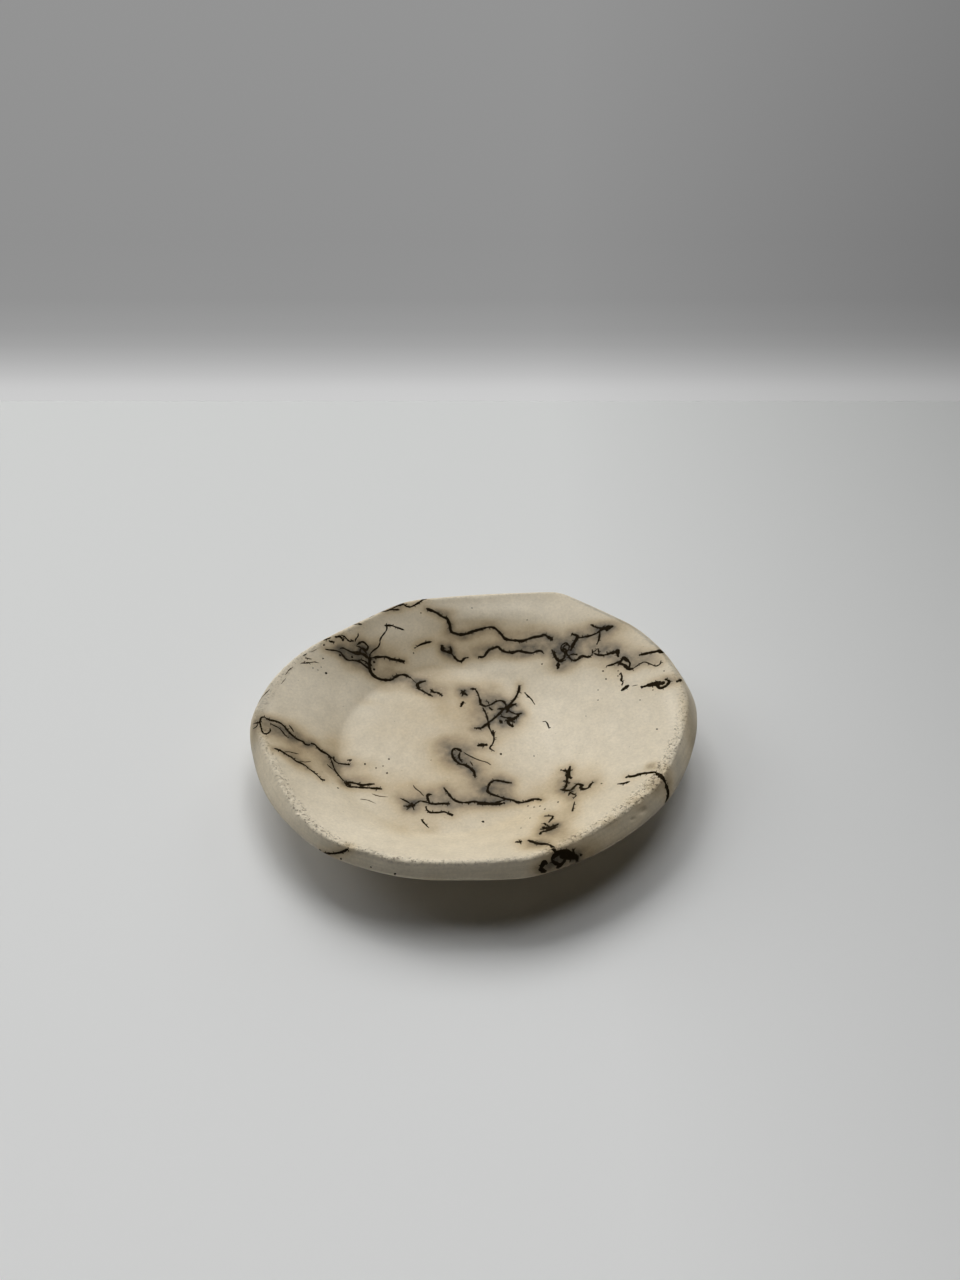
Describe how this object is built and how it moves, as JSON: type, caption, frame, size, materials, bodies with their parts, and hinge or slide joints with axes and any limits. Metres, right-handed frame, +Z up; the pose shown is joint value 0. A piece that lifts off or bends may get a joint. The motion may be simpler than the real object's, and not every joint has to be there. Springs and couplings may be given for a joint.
{
  "type": "ceramic dish",
  "caption": "Shallow hand-built ceramic dish: an oval slab bowl with a round well, a knife-bevelled lip and a luted foot ring that it stands on.",
  "frame": {"origin": "on the resting plane, under the middle of the oval slab", "axes": "+Z up out of the bowl, +X along the dish's longer side, +Y along its shorter side"},
  "size_m": [0.152, 0.1288, 0.0238],
  "materials": {
    "burnished_clay": "burnished ivory clay, soft low sheen, smoke clouded",
    "bare_clay": "unpolished fired clay, matt and slightly sandy",
    "carbon": "matt carbon burnt into the surface"
  },
  "bodies": {
    "root": {"dish_body": "burnished_clay", "foot_ring": "bare_clay"}
  },
  "joints": []
}
